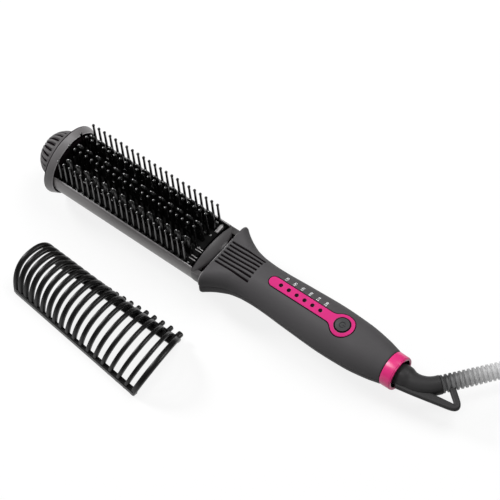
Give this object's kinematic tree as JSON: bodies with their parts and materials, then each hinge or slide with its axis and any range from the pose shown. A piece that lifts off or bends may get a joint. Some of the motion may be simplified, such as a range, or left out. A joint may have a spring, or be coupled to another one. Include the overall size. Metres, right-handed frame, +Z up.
{
  "type": "heated straightening brush",
  "caption": "Heated hair brush with ball-tipped pins and rounded heated teeth in an open barrel, a flared grip with a lamp panel and power button, a swivel cord and a separate comb guard.",
  "frame": {"origin": "on the surface that the brush and its guard lie on, under the middle of both, without the cord", "axes": "+X along the brush from its cool tip towards the cord, +Z up along the bristles; the brush's axis dips towards its grip because it rests on its tip flange and the collar behind the bristles"},
  "size_m": [0.5064, 0.2278, 0.0596],
  "materials": {
    "casing": "soft-touch dark grey",
    "pink": "satin pink",
    "cord_mould": "satin dark grey",
    "cord": "matte black",
    "tip": "matte dark grey",
    "grey_plastic": "satin grey",
    "barrel": "ceramic-coated grey",
    "black_plastic": "matte black",
    "pins": "glossy black",
    "combs": "gloss black coat",
    "button": "satin grey",
    "guard": "satin black",
    "tie": "matte black",
    "plated_pins": "nickel plated",
    "heat_plate": "plain",
    "element": "foil",
    "insulator": "mica sheet",
    "board": "green laminate",
    "steel": "zinc plated",
    "lamp": "smoked clear",
    "leads": "silicone",
    "brass": "turned"
  },
  "bodies": {
    "brush": {"cool_tip": "tip", "tip_flange": "grey_plastic", "barrel_shell": "barrel", "bristle_bed": "black_plastic", "pin_strip_1": "pins", "pin_strip_2": "pins", "pin_strip_3": "pins", "pin_strip_4": "pins", "heat_comb_1": "combs", "heat_comb_2": "combs", "heat_comb_3": "combs", "rear_collar": "grey_plastic", "upper_casing": "casing", "lower_casing": "casing", "panel_bezel": "pink", "end_ring": "pink", "tip_screws": "steel", "heater_plate": "heat_plate", "heating_element": "element", "insulator_sheet": "insulator", "heater_carrier": "insulator", "thermistor": "element", "thermal_fuse": "steel", "circuit_board": "board", "board_screws": "steel", "push_switch": "black_plastic", "indicator_lamps": "lamp", "light_guide": "lamp", "head_leads": "leads", "mains_leads": "leads", "swivel_bush": "brass", "casing_screws": "steel", "guard_catch": "grey_plastic"},
    "button": {"power_button": "button"},
    "cord_end": {"swivel_neck": "cord_mould", "hang_loop": "cord_mould", "ribbed_sleeve": "cord_mould", "cord_tube": "cord", "cord_coil": "cord", "cord_tie": "tie", "cord_tail": "cord", "plug_body": "cord_mould", "plug_pins": "plated_pins"},
    "guard": {"comb_guard": "guard"}
  },
  "joints": [
    {"name": "button_press", "type": "slide", "parent": "brush", "child": "button", "axis": [-0.0244, 0, -0.9997], "range_m": [0, 0.0008], "stiffness_N_per_m": 600},
    {"name": "cord_swivel", "type": "hinge", "parent": "brush", "child": "cord_end", "pos_m": [0.12959, 0.04085, 0.01906], "axis": [0.9997, 0, -0.0244], "continuous": true},
    {"name": "guard_lift", "type": "slide", "parent": "brush", "child": "guard", "axis": [0, 0, 1], "range_m": [0, 0.06]}
  ]
}
